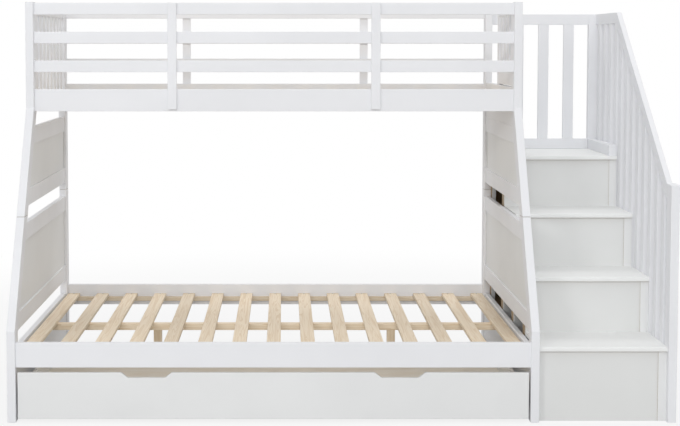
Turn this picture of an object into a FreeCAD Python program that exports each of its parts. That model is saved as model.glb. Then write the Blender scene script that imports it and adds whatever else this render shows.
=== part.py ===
import FreeCAD, Part
import math
import os

# Bunk bed: a single bunk over a double one, with slanted front legs, a staircase with a
# banister at the right end and a roll-out drawer under the lower bunk.
# Millimetres, +Z up, front towards -Y, origin on the floor under the middle of the whole part.

# Plan of the two bunks
inner_length = 2020.0
lower_depth = 1490.0
upper_depth = 982.0
leg_width = 33.0
leg_depth = 69.0
edge_round = 2.0
post_end_bevel = 1.5

# Drawer front and lower side rails, from the floor up
drawer_floor_gap = 13.0
drawer_front_height = 184.0
drawer_top_gap = 20.0
lower_rail_height = 98.0
lower_rail_thickness = 25.0
lower_rail_setback = 10.0

# Slatted decks
slat_count = 15
slat_width = 57.0
slat_thickness = 15.0
slat_end_margin = 1.5
slat_side_play = 1.0
lower_deck_drop = 43.0
upper_deck_drop = 28.0
cleat_size = 20.0
cleat_end_gap = 20.0
beam_width = 40.0
beam_height = 28.0
centre_leg_size = 35.0
centre_leg_spacing = 1026.0

# Panelled ends
end_thickness = 22.0
end_rail_height = 70.0
end_gap = 66.0
apron_above_deck = 8.0
apron_height = 220.0
lower_panel_opening = 264.0
upper_panel_opening = 178.0
panel_thickness = 9.0
groove_depth = 10.0
groove_play = 0.3

# Slanted front legs
bend_above_lower_rail = 45.0
bend_above_upper_rail_foot = 15.0
seam_groove_height = 1.6
seam_groove_depth = 2.5
dowel_radius = 6.0
dowel_length = 80.0
dowel_play = 0.2

# Upper side rails and guards
upper_rail_height = 93.0
upper_rail_thickness = 20.0
guard_rail_count = 3
guard_rail_height = 49.0
guard_rail_gap = 72.0
leg_above_guard = 4.0
guard_post_width = 38.0
guard_post_thickness = 15.0
guard_post_spacing = 857.0
guard_post_rise = 8.0
guard_slat_width = 49.0
guard_slat_thickness = 18.0
left_guard_slat_count = 8
right_guard_slat_count = 4
right_guard_reach = 426.0
right_guard_foot_height = 85.0
right_guard_foot_gap = 5.0
entrance_post_width = 49.0
threshold_height = 166.0

# Bolts that draw the side rails against the legs
bolt_radius = 4.0
bolt_play = 0.4
bolt_head_radius = 8.0
bolt_head_height = 4.0
bolt_head_sink = 1.0
bolt_socket = 6.0
bolt_socket_depth = 2.5
bolt_edge_distance = 25.0
bolt_tip_beyond_nut = 10.0
nut_radius = 6.0
nut_inset = 40.0
nut_cover = 3.0
nut_below_face = 2.0

# Staircase
step_count = 4
first_rise = 295.0
step_rise = 228.0
step_run = 313.5
first_riser_setback = 33.0
stair_width = 504.0
stair_board = 18.0
stair_side_thickness = 33.0
stair_side_proud = 3.0
tread_nosing = 15.0
nosing_round = 6.0
upright_width = 60.0

# Banister and platform guard
newel_height = 938.0
newel_head_round = 6.0
handrail_height = 50.0
handrail_thickness = 22.0
handrail_above_platform = 648.0
handrail_below_newel = 3.0
handrail_knee_behind_riser = 36.0
baluster_width = 49.0
sloped_baluster_count = 8
level_baluster_count = 4
first_baluster_gap = 35.0
knee_baluster_gap = 32.0
platform_baluster_gap = 19.0
corner_baluster_gap = 51.0
baluster_drop = 275.0
platform_rail_height = 48.0
corner_post_width = 67.0
corner_post_depth = 34.0
back_slat_count = 3
back_slat_gap = 72.0

# Roll-out drawer
drawer_side_gap = 7.0
drawer_setback = 10.0
drawer_front_thickness = 18.0
drawer_leg_gap = 27.5
drawer_wall = 15.0
drawer_wall_inset = 19.0
drawer_wall_foot = 40.0
drawer_wall_height = 110.0
drawer_bottom_thickness = 9.0
drawer_groove_depth = 6.0
drawer_groove_play = 0.3
batten_width = 90.0
batten_thickness = 18.0
batten_side_gap = 74.0
batten_front_gap = 17.0
batten_back_gap = 15.0
notch_spacing = 996.0
notch_top_width = 200.0
notch_foot_width = 146.0
notch_depth = 21.0
notch_round = 14.0

# Fixed casters under the drawer
wheel_radius = 19.0
wheel_width = 18.0
wheel_edge_bevel = 2.0
axle_radius = 3.0
axle_play = 0.05
axle_head_radius = 5.0
axle_head_thickness = 2.0
bracket_sheet = 2.0
bracket_plate_length = 60.0
bracket_plate_width = 44.0
bracket_ear_top = 36.0
bracket_ear_round = 9.0
wheel_side_play = 2.0
wheel_end_distance = 65.0

# Heights that follow from the sizes above
lower_rail_foot = drawer_floor_gap + drawer_front_height + drawer_top_gap
lower_rail_top = lower_rail_foot + lower_rail_height
lower_deck_top = lower_rail_top - lower_deck_drop
apron_top = lower_deck_top + apron_above_deck
lower_end_foot = apron_top + end_gap
lower_panel_foot = lower_end_foot + end_rail_height
lower_panel_top = lower_panel_foot + lower_panel_opening
lower_end_top = lower_panel_top + end_rail_height
seam_height = lower_end_top + end_gap / 2
upper_end_foot = lower_end_top + end_gap
upper_panel_foot = upper_end_foot + end_rail_height
upper_panel_top = upper_panel_foot + upper_panel_opening
upper_end_top = upper_panel_top + end_rail_height
upper_rail_foot = upper_end_top + end_gap
upper_rail_top = upper_rail_foot + upper_rail_height
upper_deck_top = upper_rail_top - upper_deck_drop
guard_pitch = guard_rail_gap + guard_rail_height
guard_top = upper_rail_top + guard_rail_count * guard_pitch
leg_top = guard_top + leg_above_guard
threshold_foot = upper_end_top
threshold_top = threshold_foot + threshold_height
platform_top = first_rise + (step_count - 1) * step_rise
handrail_top = platform_top + handrail_above_platform
platform_rail_top = platform_top + platform_rail_height

# Places along the bed's length (x from its middle) and depth (d back from its front)
leg_inner = inner_length / 2
leg_outer = leg_inner + leg_width
end_inner = leg_inner + (leg_width - end_thickness) / 2
end_outer = end_inner + end_thickness
setback = lower_depth - upper_depth
back_leg_face = lower_depth - leg_depth
lower_rail_back = lower_rail_setback + lower_rail_thickness
upper_rail_setback = setback + guard_post_thickness
upper_rail_back = upper_rail_setback + upper_rail_thickness
guard_front = setback + leg_depth
entrance_post_face = guard_front + right_guard_reach
stair_outer = leg_outer + stair_width
riser_right = stair_outer - stair_side_thickness
banister_outer = stair_outer + handrail_thickness
newel_outer = stair_outer + leg_width
corner_post_face = lower_depth - corner_post_depth
corner_post_left = newel_outer - corner_post_width
corner_post_x = (corner_post_left, newel_outer)
guard_back = corner_post_face + handrail_thickness
stair_back = corner_post_face
last_riser = first_riser_setback + (step_count - 1) * step_run
knee = last_riser + handrail_knee_behind_riser

# Drawer places
drawer_back = (lower_depth - centre_leg_size) / 2 - drawer_leg_gap
drawer_front_back = drawer_setback + drawer_front_thickness
drawer_half_front = leg_inner - drawer_side_gap
drawer_wall_outer = drawer_half_front - drawer_wall_inset
drawer_wall_inner = drawer_wall_outer - drawer_wall
batten_middle = drawer_wall_inner - batten_side_gap - batten_width / 2
drawer_front_top = drawer_floor_gap + drawer_front_height
drawer_wall_top = drawer_wall_foot + drawer_wall_height
caster_height = 2 * wheel_radius + 4 * bracket_sheet + bracket_sheet
drawer_bottom_foot = caster_height + batten_thickness
batten_front = drawer_front_back + batten_front_gap
batten_back = drawer_back - drawer_wall - batten_back_gap
ear_inner = wheel_width / 2 + wheel_side_play

# Middle of the bed and front of the legs in the part's own frame
bed_x = -(newel_outer - leg_outer) / 2
front_y = -lower_depth / 2

left, right = -1, 1
both_sides = (left, right)
along_x = FreeCAD.Vector(1, 0, 0)
along_y = FreeCAD.Vector(0, 1, 0)
along_z = FreeCAD.Vector(0, 0, 1)


def at(x, d, z):
    """Point at x from the bed's middle, d behind its front and z above the floor."""
    return FreeCAD.Vector(bed_x + x, front_y + d, z)


def runs_along(edge, axis):
    """True for a straight edge that lies along the axis."""
    return abs(edge.tangentAt(edge.FirstParameter).dot(axis)) > 0.999


def box(x, d, z):
    """Square-edged block between two limits on each axis."""
    low = at(min(x), min(d), min(z))
    size = at(max(x), max(d), max(z)) - low
    return Part.makeBox(size.x, size.y, size.z, low)


def board(x, d, z, axis, radius=edge_round):
    """Planed board between two limits on each axis, eased along its length."""
    solid = box(x, d, z)
    return solid.makeFillet(radius, [e for e in solid.Edges if runs_along(e, axis)])


def bevelled_ends(post):
    """A post with the edges of its foot and head bevelled."""
    ends = (post.BoundBox.ZMin, post.BoundBox.ZMax)
    level = [e for e in post.Edges if abs(e.Vertexes[0].Z - e.Vertexes[-1].Z) < 0.01]
    rims = [e for e in level if min(abs(e.Vertexes[0].Z - z) for z in ends) < 0.01]
    return post.makeChamfer(post_end_bevel, rims)


def plate(outline, x):
    """Flat piece cut to an outline of (d, z) points, between two limits in x."""
    points = [at(min(x), d, z) for d, z in outline]
    face = Part.Face(Part.makePolygon(points + points[:1]))
    return face.extrude(along_x * (max(x) - min(x)))


def rod(start, axis, radius, length):
    """Round bar from a start point along an axis."""
    return Part.makeCylinder(radius, length, start, axis)


def spread(count, start, end, width):
    """Left limits of equal pieces set between two limits with equal gaps."""
    gap = (end - start - count * width) / (count + 1)
    return [start + gap + i * (width + gap) for i in range(count)]


def in_line(count, first, last):
    """Evenly spaced places from the first to the last."""
    return [first + i * (last - first) / (count - 1) for i in range(count)]


def mirrored(side, near, far):
    """Limits in x at one end of the bed."""
    return (side * near, side * far)


def save(name, solids):
    """Write one named piece, or a set of like pieces."""
    Part.makeCompound(solids).exportStep("parts/%s.step" % name)


# Front legs: upright, then slanted back, then upright again
slant_foot = lower_rail_top + bend_above_lower_rail
slant_head = upper_rail_foot + bend_above_upper_rail_foot
slant_angle = math.atan2(setback, slant_head - slant_foot)
bend_shift = leg_depth * math.tan(slant_angle / 2)


def leg_back_line():
    """Corners of the front leg's back edge, from the floor up."""
    foot = (leg_depth, 0)
    low_bend = (leg_depth, slant_foot - bend_shift)
    high_bend = (setback + leg_depth, slant_head - bend_shift)
    head = (setback + leg_depth, leg_top)
    return [foot, low_bend, high_bend, head]


def leg_front_line():
    """Corners of the front leg's front edge, from the floor up."""
    return [(0, 0), (0, slant_foot), (setback, slant_head), (setback, leg_top)]


def depth_on(line, z):
    """Depth of a line of (d, z) corners at one height."""
    for (d0, z0), (d1, z1) in zip(line, line[1:]):
        if z0 <= z <= z1:
            return d0 + (d1 - d0) * (z - z0) / (z1 - z0)
    return line[-1][0]


def between(line, z0, z1, shift=0.0):
    """The stretch of a line between two heights, moved in depth."""
    inner = [(d, z) for d, z in line if z0 < z < z1]
    ends = [(depth_on(line, z), z) for z in (z0, z1)]
    return [(d + shift, z) for d, z in ends[:1] + inner + ends[1:]]


def front_leg(side, z0, z1):
    """One half of a front leg, above or below the seam."""
    outline = between(leg_front_line(), z0, z1) + between(leg_back_line(), z0, z1)[::-1]
    solid = plate(outline, mirrored(side, leg_inner, leg_outer))
    long_edges = [e for e in solid.Edges if abs(e.tangentAt(e.FirstParameter).z) > 0.1]
    return bevelled_ends(solid.makeFillet(edge_round, long_edges))


def back_leg(side, z0, z1):
    """One half of a back leg, above or below the seam."""
    x = mirrored(side, leg_inner, leg_outer)
    return bevelled_ends(board(x, (back_leg_face, lower_depth), (z0, z1), along_z))


def back_leg_lines():
    """Front and back edge of a back leg, from the floor up."""
    return [[(d, 0), (d, leg_top)] for d in (back_leg_face, lower_depth)]


def seam_slab(side, lines, inset):
    """Thin slice of an upper leg just above the seam, drawn in on all four sides."""
    z = (seam_height, seam_height + seam_groove_height)
    front, back = lines
    outline = between(front, *z, inset) + between(back, *z, -inset)[::-1]
    return plate(outline, mirrored(side, leg_inner + inset, leg_outer - inset))


def seam_groove(side, lines):
    """Shadow groove that runs round the foot of an upper leg."""
    return seam_slab(side, lines, -seam_groove_depth).cut(seam_slab(side, lines, seam_groove_depth))


def end_board(side, z0, z1, thickness=end_thickness, back=back_leg_face):
    """Board of an end, cut to the front leg's back edge and running back from it."""
    middle = leg_inner + leg_width / 2
    outline = between(leg_back_line(), z0, z1) + [(back, z1), (back, z0)]
    solid = plate(outline, mirrored(side, middle - thickness / 2, middle + thickness / 2))
    return solid.makeFillet(edge_round, [e for e in solid.Edges if runs_along(e, along_y)])


def end_panel(side, z0, z1, tongue, thickness):
    """Thin panel between two end rails and two legs, reaching into their grooves."""
    middle = leg_inner + leg_width / 2
    low, high = z0 - tongue, z1 + tongue
    back = back_leg_face + tongue
    outline = between(leg_back_line(), low, high, -tongue) + [(back, high), (back, low)]
    return plate(outline, mirrored(side, middle - thickness / 2, middle + thickness / 2))


def panel(side, z0, z1):
    """The panel itself."""
    return end_panel(side, z0, z1, groove_depth, panel_thickness)


def panel_groove(side, z0, z1):
    """The room that is ploughed out for a panel in what holds it."""
    return end_panel(side, z0, z1, groove_depth + groove_play, panel_thickness + 2 * groove_play)


lower_panel_span = (lower_panel_foot, lower_panel_top)
upper_panel_span = (upper_panel_foot, upper_panel_top)


def dowel(place, radius, length):
    """Steel pin that stands half in a lower leg and half in the upper one."""
    x, d = place
    return rod(at(x, d, seam_height - length / 2), along_z, radius, length)


def dowel_place(side, front):
    """Middle of a leg at the seam."""
    x = side * (leg_inner + leg_width / 2)
    if not front:
        return x, back_leg_face + leg_depth / 2
    edges = [depth_on(line, seam_height) for line in (leg_front_line(), leg_back_line())]
    return x, sum(edges) / 2


def bolt_rows(rail_foot, rail_top, rail_d0, rail_d1):
    """Depth and heights of the bolts at each end of one side rail."""
    d = (rail_d0 + rail_d1) / 2
    return [(d, rail_foot + bolt_edge_distance), (d, rail_top - bolt_edge_distance)]


lower_front_d = (lower_rail_setback, lower_rail_back)
lower_back_d = (lower_depth - lower_rail_back, lower_depth - lower_rail_setback)
upper_front_d = (upper_rail_setback, upper_rail_back)
upper_back_d = (lower_depth - guard_post_thickness - upper_rail_thickness, lower_depth - guard_post_thickness)
lower_rail_z = (lower_rail_foot, lower_rail_top)
upper_rail_z = (upper_rail_foot, upper_rail_top)

lower_front_bolts = bolt_rows(*lower_rail_z, *lower_front_d)
lower_back_bolts = bolt_rows(*lower_rail_z, *lower_back_d)
upper_front_bolts = bolt_rows(*upper_rail_z, *upper_front_d)
upper_back_bolts = bolt_rows(*upper_rail_z, *upper_back_d)

head_seat = leg_outer - bolt_head_sink - bolt_head_height
bolt_tip = leg_inner - nut_inset - nut_radius - bolt_tip_beyond_nut


def hexagon(middle, depth):
    """Six-sided socket for the key, sunk from the middle of a bolt's head."""
    reach = bolt_socket / math.sqrt(3)
    turns = [math.radians(60 * i) for i in range(6)]
    corners = [middle + along_y * (reach * math.cos(a)) + along_z * (reach * math.sin(a)) for a in turns]
    return Part.Face(Part.makePolygon(corners + corners[:1])).extrude(depth)


def bolt(side, d, z):
    """Bed bolt: flat head sunk in the leg's outer face, shank through to its nut."""
    inward = along_x * -side
    head = rod(at(side * (head_seat + bolt_head_height), d, z), inward, bolt_head_radius, bolt_head_height)
    shank = rod(at(side * head_seat, d, z), inward, bolt_radius, head_seat - bolt_tip)
    socket = hexagon(at(side * (head_seat + bolt_head_height), d, z), inward * bolt_socket_depth)
    return head.fuse(shank).removeSplitter().cut(socket)


def bolt_room(side, d, z):
    """Clearance hole and counterbore for a bolt."""
    inward = along_x * -side
    hole = bolt_radius + bolt_play
    sink = bolt_head_sink + bolt_head_height
    counterbore = rod(at(side * leg_outer, d, z), inward, bolt_head_radius + bolt_play, sink)
    return counterbore.fuse(rod(at(side * leg_outer, d, z), inward, hole, leg_outer - bolt_tip + bolt_play))


def nut(side, rail_d, open_face, z):
    """Barrel nut across a rail, with the bolt's hole through it."""
    outward = 1 if open_face == max(rail_d) else -1
    x = side * (leg_inner - nut_inset)
    length = max(rail_d) - min(rail_d) - nut_cover - nut_below_face
    start = at(x, open_face - outward * nut_below_face, z)
    body = rod(start, along_y * -outward, nut_radius, length)
    return body.cut(bolt_room(side, sum(rail_d) / 2, z))


def nut_room(side, rail_d, open_face, z):
    """Blind hole for a barrel nut, bored from one face of the rail."""
    outward = 1 if open_face == max(rail_d) else -1
    depth = max(rail_d) - min(rail_d) - nut_cover
    start = at(side * (leg_inner - nut_inset), open_face, z)
    return rod(start, along_y * -outward, nut_radius + dowel_play, depth)


def bored_leg(side, leg, bolts):
    """A leg with the holes for the bolts of one rail."""
    return leg.cut([bolt_room(side, d, z) for d, z in bolts])


def side_rail(rail_d, rail_z, nut_face, bolts):
    """Side rail between the legs, bored at both ends for its bolts and nuts."""
    solid = board((-leg_inner, leg_inner), rail_d, rail_z, along_x)
    holes = [bolt_room(side, d, z) for side in both_sides for d, z in bolts]
    holes += [nut_room(side, rail_d, nut_face, z) for side in both_sides for d, z in bolts]
    return solid.cut(holes)


def nuts_of(rail_d, nut_face, bolts):
    """Barrel nuts of one side rail."""
    return [nut(side, rail_d, nut_face, z) for side in both_sides for d, z in bolts]


def save_legs():
    """Eight half legs with their grooves, dowel holes and bolt holes."""
    lower_backs, upper_backs = [], []
    for side, word in ((left, "left"), (right, "right")):
        front_pin = dowel(dowel_place(side, True), dowel_radius + dowel_play, dowel_length + 2 * dowel_play)
        back_pin = dowel(dowel_place(side, False), dowel_radius + dowel_play, dowel_length + 2 * dowel_play)
        lower_groove = panel_groove(side, *lower_panel_span)
        upper_groove = panel_groove(side, *upper_panel_span)
        lower_front = front_leg(side, 0, seam_height).cut([front_pin, lower_groove])
        front_groove = seam_groove(side, (leg_front_line(), leg_back_line()))
        upper_front = front_leg(side, seam_height, leg_top).cut([front_pin, upper_groove, front_groove])
        lower_back = back_leg(side, 0, seam_height).cut([back_pin, lower_groove])
        back_groove = seam_groove(side, back_leg_lines())
        upper_back = back_leg(side, seam_height, leg_top).cut([back_pin, upper_groove, back_groove])
        save("lower_front_leg_" + word, [bored_leg(side, lower_front, lower_front_bolts)])
        save("upper_front_leg_" + word, [bored_leg(side, upper_front, upper_front_bolts)])
        lower_backs.append(bored_leg(side, lower_back, lower_back_bolts))
        upper_backs.append(bored_leg(side, upper_back, upper_back_bolts))
    save("lower_back_legs", lower_backs)
    save("upper_back_legs", upper_backs)
    places = [dowel_place(side, front) for side in both_sides for front in (True, False)]
    save("stacking_dowels", [dowel(place, dowel_radius, dowel_length) for place in places])


def grooved_rails(side, foot, panel_span, head):
    """Bottom and top rail of one panelled end."""
    groove = panel_groove(side, *panel_span)
    spans = ((foot, panel_span[0]), (panel_span[1], head))
    return [end_board(side, z0, z1).cut(groove) for z0, z1 in spans]


def save_ends():
    """Panelled ends of both bunks, with the apron under the lower deck's end."""
    for side, word in ((left, "left"), (right, "right")):
        save("lower_end_rails_" + word, grooved_rails(side, lower_end_foot, lower_panel_span, lower_end_top))
        save("lower_end_panel_" + word, [panel(side, *lower_panel_span)])
        save("upper_end_rails_" + word, grooved_rails(side, upper_end_foot, upper_panel_span, upper_end_top))
        save("upper_end_panel_" + word, [panel(side, *upper_panel_span)])
    save("end_aprons", [end_board(side, apron_top - apron_height, apron_top) for side in both_sides])


def save_side_rails():
    """Long rails of both bunks, with their bolts and barrel nuts."""
    lower_wall_face = max(lower_back_d)
    upper_wall_face = max(upper_back_d)
    save("lower_front_rail", [side_rail(lower_front_d, lower_rail_z, lower_rail_back, lower_front_bolts)])
    save("lower_back_rail", [side_rail(lower_back_d, lower_rail_z, lower_wall_face, lower_back_bolts)])
    save("upper_front_rail", [side_rail(upper_front_d, upper_rail_z, upper_rail_back, upper_front_bolts)])
    save("upper_back_rail", [side_rail(upper_back_d, upper_rail_z, upper_wall_face, upper_back_bolts)])
    places = lower_front_bolts + lower_back_bolts + upper_front_bolts + upper_back_bolts
    save("bed_bolts", [bolt(side, d, z) for side in both_sides for d, z in places])
    nuts = nuts_of(lower_front_d, lower_rail_back, lower_front_bolts)
    nuts += nuts_of(lower_back_d, lower_wall_face, lower_back_bolts)
    nuts += nuts_of(upper_front_d, upper_rail_back, upper_front_bolts)
    nuts += nuts_of(upper_back_d, upper_wall_face, upper_back_bolts)
    save("barrel_nuts", nuts)


def slats(deck_top, front, back):
    """Slats across one deck, resting on the cleats of the two rails."""
    half = leg_inner - slat_end_margin
    starts = in_line(slat_count, -half, half - slat_width)
    depth = (front + slat_side_play, back - slat_side_play)
    height = (deck_top - slat_thickness, deck_top)
    return [board((x, x + slat_width), depth, height, along_y) for x in starts]


def cleats(deck_top, front, back):
    """Square strips along the inner faces of two side rails."""
    top = deck_top - slat_thickness
    length = (-leg_inner + cleat_end_gap, leg_inner - cleat_end_gap)
    spans = ((front, front + cleat_size), (back - cleat_size, back))
    return [board(length, d, (top - cleat_size, top), along_x) for d in spans]


def save_decks():
    """Slats, cleats, and the lower deck's middle beam with its two legs."""
    lower_back_inner = min(lower_back_d)
    upper_back_inner = min(upper_back_d)
    save("lower_slats", slats(lower_deck_top, lower_rail_back, lower_back_inner))
    save("upper_slats", slats(upper_deck_top, upper_rail_back, upper_back_inner))
    strips = cleats(lower_deck_top, lower_rail_back, lower_back_inner)
    strips += cleats(upper_deck_top, upper_rail_back, upper_back_inner)
    save("slat_cleats", strips)
    middle = lower_depth / 2
    beam_top = lower_deck_top - slat_thickness
    beam_foot = beam_top - beam_height
    beam_d = (middle - beam_width / 2, middle + beam_width / 2)
    save("centre_beam", [board((-end_inner, end_inner), beam_d, (beam_foot, beam_top), along_x)])
    half = centre_leg_size / 2
    leg_d = (middle - half, middle + half)
    places = [side * centre_leg_spacing / 2 for side in both_sides]
    legs = [board((x - half, x + half), leg_d, (0, beam_foot), along_z) for x in places]
    save("centre_support_legs", legs)


def long_guard_rails(rail_d):
    """Horizontal guard rails along one side of the upper bunk."""
    feet = [upper_rail_top + guard_rail_gap + i * guard_pitch for i in range(guard_rail_count)]
    length = (-leg_inner, leg_inner)
    return [board(length, rail_d, (z, z + guard_rail_height), along_x) for z in feet]


def guard_posts(post_d):
    """Flat posts that tie one side's guard rails to its side rail."""
    half = guard_post_width / 2
    height = (upper_rail_foot + guard_post_rise, guard_top)
    places = [side * guard_post_spacing / 2 for side in both_sides]
    return [bevelled_ends(board((x - half, x + half), post_d, height, along_z)) for x in places]


def end_slats(side, count, back, foot, head):
    """Upright slats of an end guard, between the front leg and a limit in depth."""
    middle = side * (leg_inner + leg_width / 2)
    half = guard_slat_thickness / 2
    starts = spread(count, guard_front, back, guard_slat_width)
    x = (middle - half, middle + half)
    return [board(x, (d, d + guard_slat_width), (foot, head), along_z) for d in starts]


def save_guards():
    """Guard rails round the upper bunk, with the entrance from the stairs at the right."""
    save("front_guard_rails", long_guard_rails(upper_front_d))
    save("back_guard_rails", long_guard_rails(upper_back_d))
    posts = guard_posts((setback, upper_rail_setback))
    posts += guard_posts((max(upper_back_d), lower_depth))
    save("guard_posts", posts)
    top_foot = guard_top - guard_rail_height
    left_rail_top = upper_rail_foot + end_rail_height
    save("left_deck_end_rail", [end_board(left, upper_rail_foot, left_rail_top)])
    save("left_guard_top_rail", [end_board(left, top_foot, guard_top)])
    left_slats = end_slats(left, left_guard_slat_count, back_leg_face, left_rail_top, top_foot)
    save("left_guard_slats", left_slats)
    foot_top = threshold_top + right_guard_foot_height
    save("right_deck_end_rail", [end_board(right, threshold_foot, threshold_top)])
    rail_foot = threshold_top + right_guard_foot_gap
    foot_rail = end_board(right, rail_foot, foot_top, back=entrance_post_face)
    top_rail = end_board(right, top_foot, guard_top, back=entrance_post_face)
    save("right_guard_rails", [foot_rail, top_rail])
    right_slats = end_slats(right, right_guard_slat_count, entrance_post_face, foot_top, top_foot)
    save("right_guard_slats", right_slats)
    post_d = (entrance_post_face, entrance_post_face + entrance_post_width)
    save("entrance_post", [board((end_inner, end_outer), post_d, (threshold_top, guard_top), along_z)])


def riser_face(step):
    """Depth of a riser's front face."""
    return first_riser_setback + step * step_run


def side_front(step):
    """Depth of the side panel's front edge at a riser, a little proud of it."""
    return riser_face(step) - stair_side_proud


def tread_top(step):
    """Height of a tread's top."""
    return first_rise + step * step_rise


def tread(step, back):
    """Step board with a rounded nosing over its riser."""
    z = (tread_top(step) - stair_board, tread_top(step))
    solid = box((leg_outer, stair_outer), (riser_face(step) - tread_nosing, back), z)
    front = front_y + riser_face(step) - tread_nosing
    nosing = [e for e in solid.Edges if runs_along(e, along_x) and abs(e.CenterOfMass.y - front) < 0.01]
    return solid.makeFillet(nosing_round, nosing)


def riser(step):
    """Upright board across the stairs, from the floor to its tread."""
    d = (riser_face(step), riser_face(step) + stair_board)
    return box((leg_outer, riser_right), d, (0, tread_top(step) - stair_board))


def stair_side():
    """Stepped panel on the stairs' outer side, under the treads' ends."""
    outline = [(side_front(0), 0)]
    for step in range(step_count):
        under = tread_top(step) - stair_board
        back = side_front(step + 1) if step + 1 < step_count else stair_back
        outline += [(side_front(step), under), (back, under)]
    return plate(outline + [(stair_back, 0)], (riser_right, stair_outer))


def stair_upright(d, step):
    """Strip at the bed side of the stairs that carries the treads' ends."""
    x = (leg_outer, leg_outer + stair_board)
    return box(x, (d, d + upright_width), (0, tread_top(step) - stair_board))


def save_stairs():
    """Carcass of the stairs: risers, treads notched round the side, platform, uprights and back."""
    last = step_count - 1
    save("stair_risers", [riser(step) for step in range(step_count)])
    side = stair_side()
    save("stair_treads", [tread(step, riser_face(step + 1)).cut(side) for step in range(last)])
    post_room = box(corner_post_x, (corner_post_face, lower_depth), (0, handrail_top))
    save("stair_platform", [tread(last, guard_back).cut(post_room)])
    save("stair_side_panel", [side])
    uprights = [stair_upright(riser_face(step) + stair_board, step) for step in range(step_count)]
    uprights.append(stair_upright(stair_back - stair_board - upright_width, last))
    save("stair_uprights", uprights)
    back_z = (0, tread_top(last) - stair_board)
    save("stair_back_panel", [box((leg_outer, riser_right), (stair_back - stair_board, stair_back), back_z)])


banister_x = (stair_outer, banister_outer)
rail_foot_top = newel_height - handrail_below_newel
rail_slope = (handrail_top - rail_foot_top) / (knee - leg_depth)
sloped_rail_drop = handrail_height * math.hypot(1, rail_slope)
level_rail_foot = handrail_top - handrail_height
knee_under = knee + (sloped_rail_drop - handrail_height) / rail_slope


def under_rail(d):
    """Height of the handrail's underside."""
    return min(level_rail_foot, rail_foot_top + (d - leg_depth) * rail_slope - sloped_rail_drop)


def eased_in_depth(solid):
    """A handrail length with its long edges eased."""
    sides = [e for e in solid.Edges if abs(e.tangentAt(e.FirstParameter).y) > 0.5]
    return solid.makeFillet(edge_round, sides)


def handrail():
    """Raking and level lengths of the handrail, mitred at the knee."""
    foot = [(leg_depth, rail_foot_top), (leg_depth, rail_foot_top - sloped_rail_drop)]
    mitre = [(knee_under, level_rail_foot), (knee, handrail_top)]
    tail = [(corner_post_face, handrail_top), (corner_post_face, level_rail_foot)]
    return [eased_in_depth(plate(points, banister_x)) for points in (foot + mitre, mitre + tail)]


def baluster(middle, foot):
    """Upright of the banister, cut to the handrail's underside."""
    d0, d1 = middle - baluster_width / 2, middle + baluster_width / 2
    head = [(d, under_rail(d)) for d in (d0, knee_under, d1) if d0 <= d <= d1]
    solid = plate([(d0, foot)] + head + [(d1, foot)], banister_x)
    return solid.makeFillet(edge_round, [e for e in solid.Edges if runs_along(e, along_z)])


def baluster_foot(d):
    """Foot of a baluster, on a line parallel to the nosings and then level with the platform."""
    nosing_line = first_rise + (d - first_riser_setback) * step_rise / step_run
    return min(nosing_line, platform_top) - baluster_drop


def balusters():
    """Uprights beside the steps and beside the platform, lapped on the stair side."""
    half = baluster_width / 2
    first = leg_depth + first_baluster_gap + half
    sloped = in_line(sloped_baluster_count, first, last_riser - knee_baluster_gap - half)
    last = corner_post_face - corner_baluster_gap - half
    level = in_line(level_baluster_count, last_riser + platform_baluster_gap + half, last)
    return [baluster(d, baluster_foot(d)) for d in sloped + level]


def newel_post():
    """Post at the foot of the banister, with its head rounded."""
    post = board((stair_outer, newel_outer), (0, leg_depth), (0, newel_height), along_z)
    return post.makeFillet(newel_head_round, [e for e in post.Edges if e.BoundBox.ZMin > newel_height - 0.01])


def save_banister():
    """Newel, handrail and balusters, and the guard across the platform's back."""
    save("newel_post", [newel_post()])
    corner = board(corner_post_x, (corner_post_face, lower_depth), (0, handrail_top), along_z)
    save("stair_corner_post", [bevelled_ends(corner)])
    save("stair_handrail", handrail())
    save("stair_balusters", balusters())
    low_z = (platform_top, platform_rail_top)
    top_z = (level_rail_foot, handrail_top)
    guard_d = (corner_post_face, guard_back)
    kerb = board((riser_right, stair_outer), (last_riser, corner_post_face), low_z, along_y)
    back_rails = [board((leg_outer, corner_post_left), guard_d, z, along_x) for z in (low_z, top_z)]
    save("platform_guard_rails", [kerb] + back_rails)
    pitch = guard_slat_width + back_slat_gap
    starts = [corner_post_left - step * pitch for step in range(1, back_slat_count + 1)]
    gap_z = (platform_rail_top, level_rail_foot)
    slat_d = (corner_post_face, corner_post_face + guard_slat_thickness)
    back_slats = [board((x, x + guard_slat_width), slat_d, gap_z, along_z) for x in starts]
    save("platform_back_slats", back_slats)


def notch(middle):
    """Room for the fingers in the drawer front's top edge."""
    foot = drawer_front_top - notch_depth
    flare = (notch_top_width - notch_foot_width) / 2 / notch_depth
    half_foot, half_top = notch_foot_width / 2, notch_top_width / 2 + flare * notch_depth
    top = drawer_front_top + notch_depth
    outline = [(-half_top, top), (-half_foot, foot), (half_foot, foot), (half_top, top)]
    points = [at(middle + x, drawer_setback, z) for x, z in outline]
    face = Part.Face(Part.makePolygon(points + points[:1]))
    room = face.extrude(along_y * drawer_front_thickness)
    corners = [e for e in room.Edges if runs_along(e, along_y) and abs(e.CenterOfMass.z - foot) < 0.01]
    return room.makeFillet(notch_round, corners)


def drawer_bottom(play):
    """Thin bottom, let into grooves of the front, the sides and the back."""
    tongue = drawer_groove_depth + play
    x = drawer_wall_inner + tongue
    d = (drawer_front_back - tongue, drawer_back - drawer_wall + tongue)
    z = (drawer_bottom_foot - play, drawer_bottom_foot + drawer_bottom_thickness + play)
    return box((-x, x), d, z)


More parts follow.
